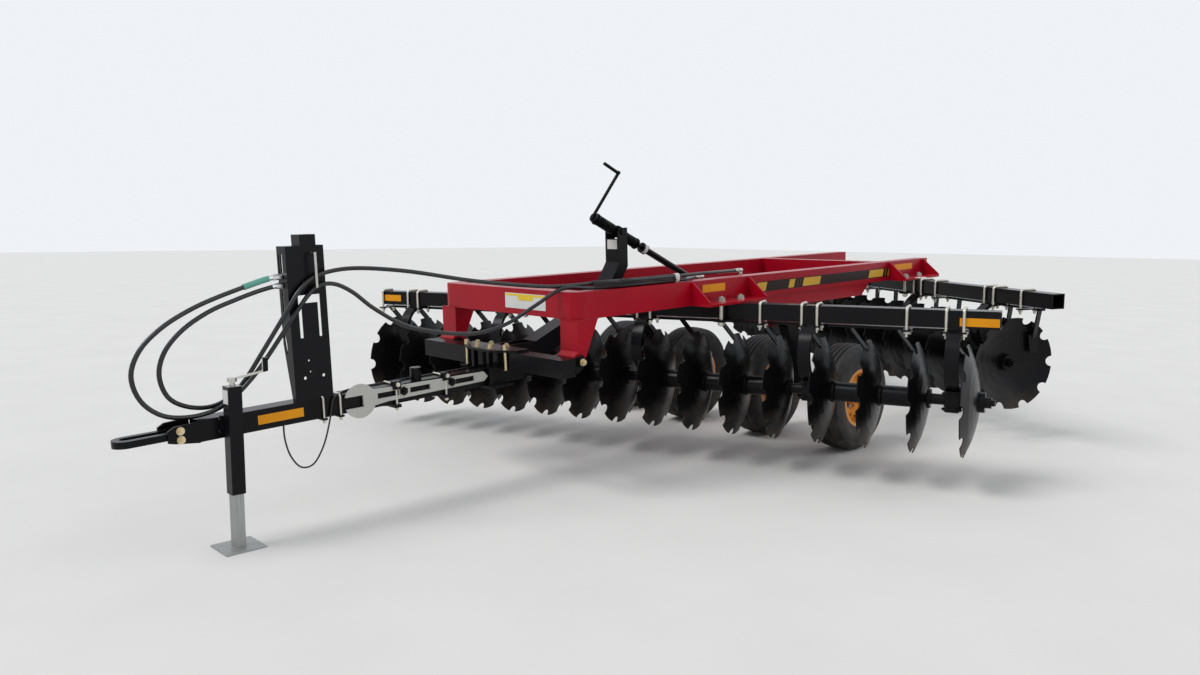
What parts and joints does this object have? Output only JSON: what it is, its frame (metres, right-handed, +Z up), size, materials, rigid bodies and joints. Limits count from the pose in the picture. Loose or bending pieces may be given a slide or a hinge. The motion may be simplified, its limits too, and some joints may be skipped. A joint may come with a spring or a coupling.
{
  "type": "offset disc harrow",
  "caption": "Towed offset disc harrow with two angled gangs of notched discs under a red frame, a wheeled rockshaft, levelling screw, tongue and side jack.",
  "frame": {"origin": "on the ground under the middle of the machine's box", "axes": "-Y towards the hitch, +X the machine's left side, +Z up"},
  "size_m": [4.4012, 7.6611, 1.9299],
  "materials": {
    "red_paint": "gloss",
    "black_paint": "gloss",
    "disc_steel": "dark, satin",
    "zinc": "satin",
    "chrome": "polished",
    "tyre": "matt",
    "rim_paint": "gloss",
    "hose": "satin"
  },
  "bodies": {
    "frame": {"left_rail": "red_paint", "right_rail": "red_paint", "front_cross": "red_paint", "rear_cross": "red_paint", "mid_cross": "red_paint", "hitch_legs": "red_paint", "rail_doublers": "red_paint", "gang_pockets": "red_paint", "front_beam": "black_paint", "rear_beam": "black_paint", "front_hangers": "black_paint", "rear_hangers": "black_paint", "front_scrapers": "black_paint", "rear_scrapers": "black_paint"},
    "front_gang": {"front_discs": "disc_steel", "front_spools": "black_paint"},
    "rear_gang": {"rear_discs": "disc_steel", "rear_spools": "black_paint"},
    "rockshaft": {"rockshaft": "black_paint", "wheel_arms": "black_paint"},
    "wheel_1": {"tyre_1": "tyre", "rim_1": "rim_paint"},
    "wheel_2": {"tyre_2": "tyre", "rim_2": "rim_paint"},
    "wheel_3": {"tyre_3": "tyre", "rim_3": "rim_paint"},
    "wheel_4": {"tyre_4": "tyre", "rim_4": "rim_paint"},
    "hitch": {"tongue": "black_paint", "hitch_loop": "black_paint", "hitch_crossbeam": "black_paint", "mast": "black_paint", "hose_holder": "black_paint", "wrench": "zinc", "jack_body": "black_paint", "hose_long": "hose", "hose_short": "hose", "light_cable": "hose"},
    "jack_leg": {"jack_leg": "zinc"},
    "level_tube": {"level_tube": "black_paint"},
    "level_screw": {"level_screw": "zinc", "level_springs": "black_paint"},
    "cylinder_barrel": {"cylinder_barrel": "black_paint"},
    "cylinder_rod": {"cylinder_rod": "chrome"}
  },
  "joints": [
    {"name": "rockshaft_turn", "type": "hinge", "parent": "frame", "child": "rockshaft", "pos_m": [-0.03015, 0.25765, 0.917], "axis": [1, 0, 0], "range_deg": [0, 34]},
    {"name": "wheel_1_spin", "type": "hinge", "parent": "rockshaft", "child": "wheel_1", "pos_m": [1.01785, 0.53765, 0.368], "axis": [1, 0, 0], "continuous": true},
    {"name": "wheel_2_spin", "type": "hinge", "parent": "rockshaft", "child": "wheel_2", "pos_m": [0.33385, 0.53765, 0.368], "axis": [1, 0, 0], "continuous": true},
    {"name": "wheel_3_spin", "type": "hinge", "parent": "rockshaft", "child": "wheel_3", "pos_m": [-0.39415, 0.53765, 0.368], "axis": [1, 0, 0], "continuous": true},
    {"name": "wheel_4_spin", "type": "hinge", "parent": "rockshaft", "child": "wheel_4", "pos_m": [-1.07815, 0.53765, 0.368], "axis": [1, 0, 0], "continuous": true},
    {"name": "front_gang_spin", "type": "hinge", "parent": "frame", "child": "front_gang", "pos_m": [-0.03015, -0.55081, 0.50492], "axis": [0.9511, 0.3089, 0.0094], "continuous": true},
    {"name": "rear_gang_spin", "type": "hinge", "parent": "frame", "child": "rear_gang", "pos_m": [-0.03015, 2.51077, 0.59792], "axis": [0.8829, -0.4693, -0.0143], "continuous": true},
    {"name": "hitch_swing", "type": "hinge", "parent": "frame", "child": "hitch", "pos_m": [-0.03015, -1.63753, 0.77564], "axis": [1, 0, 0], "range_deg": [-3, 3], "deforming": ["hose_long", "hose_short"]},
    {"name": "jack_slide", "type": "slide", "parent": "hitch", "child": "jack_leg", "axis": [0, 0, 1], "range_m": [0, 0.245]},
    {"name": "level_tube_pivot", "type": "hinge", "parent": "frame", "child": "level_tube", "pos_m": [-0.03015, 0.09381, 1.15279], "axis": [1, 0, 0], "range_deg": [-3, 3]},
    {"name": "level_screw_slide", "type": "slide", "parent": "level_tube", "child": "level_screw", "axis": [0, -0.92, 0.3918], "range_m": [-0.056, 0.056]},
    {"name": "cylinder_pivot", "type": "hinge", "parent": "frame", "child": "cylinder_barrel", "pos_m": [0.43985, -0.44235, 1.105], "axis": [1, 0, 0], "range_deg": [-3, 3]},
    {"name": "cylinder_slide", "type": "slide", "parent": "cylinder_barrel", "child": "cylinder_rod", "axis": [0, 1, 0.0069], "range_m": [-0.13, 0.005]}
  ],
  "couplings": [
    {"joint": "level_tube_pivot", "follows": "hitch_swing", "ratio": -0.6742},
    {"joint": "level_screw_slide", "follows": "hitch_swing", "m_per_rad": 1.0254},
    {"joint": "cylinder_pivot", "follows": "rockshaft_turn", "ratio": -0.0301},
    {"joint": "cylinder_slide", "follows": "rockshaft_turn", "m_per_rad": -0.1888}
  ]
}
